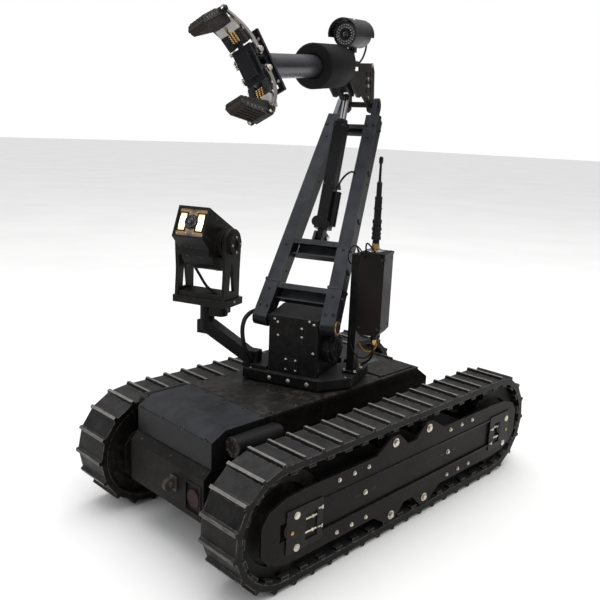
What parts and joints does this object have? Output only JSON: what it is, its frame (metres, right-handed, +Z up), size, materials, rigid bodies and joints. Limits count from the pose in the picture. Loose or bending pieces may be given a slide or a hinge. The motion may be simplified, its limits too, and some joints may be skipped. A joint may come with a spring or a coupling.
{
  "type": "tracked inspection robot",
  "caption": "Rubber-tracked robot chassis with a slewing turret, folding two-legged arm, roll gripper, lamp head, bullet camera and radio box.",
  "frame": {"origin": "on the ground under the middle of the two tracks", "axes": "+X forward, towards the hull front; +Y to the left track; +Z up"},
  "size_m": [1.1779, 0.674, 1.2927],
  "materials": {
    "hull_paint": "satin black",
    "cover_paint": "satin charcoal",
    "tow_steel": "worn",
    "motor_black": "black anodised",
    "track_rubber": "worn matte",
    "wheel_paint": "black",
    "plate_paint": "satin black",
    "carrier_paint": "satin black",
    "turret_paint": "satin black",
    "box_paint": "textured black",
    "antenna_black": "matte",
    "lamp_paint": "black anodised",
    "lens_glass": "clear front",
    "arm_paint": "satin charcoal",
    "actuator_black": "black anodised",
    "chrome_rod": "polished",
    "drum_black": "black anodised",
    "bracket_metal": "satin",
    "tube_anodised": "satin grey anodised",
    "gripper_black": "black anodised",
    "finger_chrome": "polished",
    "jaw_metal": "satin, rubber faced",
    "camera_shell": "dark grey"
  },
  "bodies": {
    "hull": {"hull_tub": "hull_paint", "front_cover": "cover_paint", "deck_plate": "cover_paint", "tow_eye": "tow_steel", "drive_motor_left": "motor_black", "drive_motor_right": "motor_black", "track_belt_left": "track_rubber", "track_frame_left": "hull_paint", "side_plate_left": "plate_paint", "idler_axle_left": "carrier_paint", "sprocket_axle_left": "carrier_paint", "track_belt_right": "track_rubber", "track_frame_right": "hull_paint", "side_plate_right": "plate_paint", "idler_axle_right": "carrier_paint", "sprocket_axle_right": "carrier_paint"},
    "hatch": {"rear_hatch": "cover_paint"},
    "turret": {"turret_plate": "turret_paint", "turret_housing": "turret_paint", "shoulder_motor": "motor_black", "mast": "turret_paint", "radio_box": "box_paint", "antenna": "antenna_black", "lamp_arm": "turret_paint"},
    "yoke": {"pan_yoke": "lamp_paint"},
    "lamp": {"lamp_head": "lamp_paint", "lamp_camera": "lens_glass"},
    "arm": {"arm_leg_left": "arm_paint", "arm_leg_right": "arm_paint", "crossbar_low": "arm_paint", "crossbar_mid": "arm_paint", "crossbar_top": "arm_paint", "actuator_barrel": "actuator_black", "arm_strut": "actuator_black"},
    "plunger": {"actuator_rod": "chrome_rod"},
    "forearm": {"wrist_drum": "drum_black", "elbow_bracket": "bracket_metal", "forearm_tube": "tube_anodised"},
    "camera": {"bullet_camera": "camera_shell", "camera_hood": "camera_shell"},
    "gripper": {"gripper_body": "gripper_black"},
    "finger_up": {"finger_upper": "finger_chrome"},
    "finger_low": {"finger_lower": "finger_chrome"},
    "jaw_up": {"jaw_upper": "jaw_metal"},
    "jaw_low": {"jaw_lower": "jaw_metal"},
    "sprocket_left_wheel": {"sprocket_left": "wheel_paint"},
    "idler_left_wheel": {"idler_left": "wheel_paint"},
    "roller_top_1_left_wheel": {"roller_top_1_left": "wheel_paint"},
    "roller_low_1_left_wheel": {"roller_low_1_left": "wheel_paint"},
    "roller_top_2_left_wheel": {"roller_top_2_left": "wheel_paint"},
    "roller_low_2_left_wheel": {"roller_low_2_left": "wheel_paint"},
    "sprocket_right_wheel": {"sprocket_right": "wheel_paint"},
    "idler_right_wheel": {"idler_right": "wheel_paint"},
    "roller_top_1_right_wheel": {"roller_top_1_right": "wheel_paint"},
    "roller_low_1_right_wheel": {"roller_low_1_right": "wheel_paint"},
    "roller_top_2_right_wheel": {"roller_top_2_right": "wheel_paint"},
    "roller_low_2_right_wheel": {"roller_low_2_right": "wheel_paint"}
  },
  "joints": [
    {"name": "turret_slew", "type": "hinge", "parent": "hull", "child": "turret", "pos_m": [0.07, 0, 0.35], "axis": [0, 0, 1], "range_deg": [-165, 165]},
    {"name": "shoulder_pitch", "type": "hinge", "parent": "turret", "child": "arm", "pos_m": [0.13954, 0.02531, 0.502], "axis": [-0.342, 0.9397, 0], "range_deg": [-5, 55]},
    {"name": "elbow_pitch", "type": "hinge", "parent": "arm", "child": "forearm", "pos_m": [-0.21418, -0.10343, 1.07071], "axis": [0.342, -0.9397, 0], "range_deg": [-32, 15]},
    {"name": "actuator_extend", "type": "slide", "parent": "arm", "child": "plunger", "axis": [-0.3152, -0.1147, 0.9421], "range_m": [-0.055, 0.027]},
    {"name": "wrist_roll", "type": "hinge", "parent": "forearm", "child": "gripper", "pos_m": [0.34987, 0.10187, 1.12034], "axis": [0.9355, 0.3405, -0.0941], "range_deg": [-180, 180]},
    {"name": "finger_upper_swing", "type": "hinge", "parent": "gripper", "child": "finger_up", "pos_m": [0.39235, 0.10669, 1.13497], "axis": [-0.2588, 0.8419, 0.4735], "range_deg": [-8, 52]},
    {"name": "finger_lower_swing", "type": "hinge", "parent": "gripper", "child": "finger_low", "pos_m": [0.38225, 0.12428, 1.09819], "axis": [0.2588, -0.8419, -0.4735], "range_deg": [-8, 52]},
    {"name": "jaw_upper_level", "type": "hinge", "parent": "finger_up", "child": "jaw_up", "pos_m": [0.47151, 0.09097, 1.2062], "axis": [-0.2588, 0.8419, 0.4735], "range_deg": [-62.4, 9.6]},
    {"name": "jaw_lower_level", "type": "hinge", "parent": "finger_low", "child": "jaw_low", "pos_m": [0.41909, 0.18223, 1.01529], "axis": [0.2588, -0.8419, -0.4735], "range_deg": [-62.4, 9.6]},
    {"name": "lamp_pan", "type": "hinge", "parent": "turret", "child": "yoke", "pos_m": [0.2359, -0.22482, 0.53], "axis": [0, 0, 1], "range_deg": [-170, 170]},
    {"name": "lamp_tilt", "type": "hinge", "parent": "yoke", "child": "lamp", "pos_m": [0.2359, -0.22482, 0.688], "axis": [-0.342, 0.9397, 0], "range_deg": [-35, 60]},
    {"name": "camera_tilt", "type": "hinge", "parent": "forearm", "child": "camera", "pos_m": [-0.11284, -0.05059, 1.20756], "axis": [-0.342, 0.9397, 0], "range_deg": [-20, 8]},
    {"name": "hatch_lift", "type": "hinge", "parent": "hull", "child": "hatch", "pos_m": [-0.242, 0, 0.3353], "axis": [0, -1, 0], "range_deg": [0, 100]},
    {"name": "sprocket_left_spin", "type": "hinge", "parent": "hull", "child": "sprocket_left_wheel", "pos_m": [-0.436, 0.264, 0.153], "axis": [0, 1, 0], "continuous": true},
    {"name": "idler_left_spin", "type": "hinge", "parent": "hull", "child": "idler_left_wheel", "pos_m": [0.436, 0.264, 0.153], "axis": [0, 1, 0], "continuous": true},
    {"name": "roller_top_1_left_spin", "type": "hinge", "parent": "hull", "child": "roller_top_1_left_wheel", "pos_m": [0.079, 0.264, 0.251], "axis": [0, 1, 0], "continuous": true},
    {"name": "roller_low_1_left_spin", "type": "hinge", "parent": "hull", "child": "roller_low_1_left_wheel", "pos_m": [0.079, 0.264, 0.055], "axis": [0, 1, 0], "continuous": true},
    {"name": "roller_top_2_left_spin", "type": "hinge", "parent": "hull", "child": "roller_top_2_left_wheel", "pos_m": [-0.062, 0.264, 0.251], "axis": [0, 1, 0], "continuous": true},
    {"name": "roller_low_2_left_spin", "type": "hinge", "parent": "hull", "child": "roller_low_2_left_wheel", "pos_m": [-0.062, 0.264, 0.055], "axis": [0, 1, 0], "continuous": true},
    {"name": "sprocket_right_spin", "type": "hinge", "parent": "hull", "child": "sprocket_right_wheel", "pos_m": [-0.436, -0.264, 0.153], "axis": [0, 1, 0], "continuous": true},
    {"name": "idler_right_spin", "type": "hinge", "parent": "hull", "child": "idler_right_wheel", "pos_m": [0.436, -0.264, 0.153], "axis": [0, 1, 0], "continuous": true},
    {"name": "roller_top_1_right_spin", "type": "hinge", "parent": "hull", "child": "roller_top_1_right_wheel", "pos_m": [0.079, -0.264, 0.251], "axis": [0, 1, 0], "continuous": true},
    {"name": "roller_low_1_right_spin", "type": "hinge", "parent": "hull", "child": "roller_low_1_right_wheel", "pos_m": [0.079, -0.264, 0.055], "axis": [0, 1, 0], "continuous": true},
    {"name": "roller_top_2_right_spin", "type": "hinge", "parent": "hull", "child": "roller_top_2_right_wheel", "pos_m": [-0.062, -0.264, 0.251], "axis": [0, 1, 0], "continuous": true},
    {"name": "roller_low_2_right_spin", "type": "hinge", "parent": "hull", "child": "roller_low_2_right_wheel", "pos_m": [-0.062, -0.264, 0.055], "axis": [0, 1, 0], "continuous": true}
  ],
  "couplings": [
    {"joint": "actuator_extend", "follows": "elbow_pitch", "m_per_rad": 0.092},
    {"joint": "finger_lower_swing", "follows": "finger_upper_swing", "ratio": 1},
    {"joint": "jaw_upper_level", "follows": "finger_upper_swing", "ratio": -1.2},
    {"joint": "jaw_lower_level", "follows": "finger_upper_swing", "ratio": -1.2},
    {"joint": "idler_left_spin", "follows": "sprocket_left_spin", "ratio": 1},
    {"joint": "roller_top_1_left_spin", "follows": "sprocket_left_spin", "ratio": 4.3862},
    {"joint": "roller_low_1_left_spin", "follows": "sprocket_left_spin", "ratio": 4.3862},
    {"joint": "roller_top_2_left_spin", "follows": "sprocket_left_spin", "ratio": 4.3862},
    {"joint": "roller_low_2_left_spin", "follows": "sprocket_left_spin", "ratio": 4.3862},
    {"joint": "idler_right_spin", "follows": "sprocket_right_spin", "ratio": 1},
    {"joint": "roller_top_1_right_spin", "follows": "sprocket_right_spin", "ratio": 4.3862},
    {"joint": "roller_low_1_right_spin", "follows": "sprocket_right_spin", "ratio": 4.3862},
    {"joint": "roller_top_2_right_spin", "follows": "sprocket_right_spin", "ratio": 4.3862},
    {"joint": "roller_low_2_right_spin", "follows": "sprocket_right_spin", "ratio": 4.3862}
  ]
}
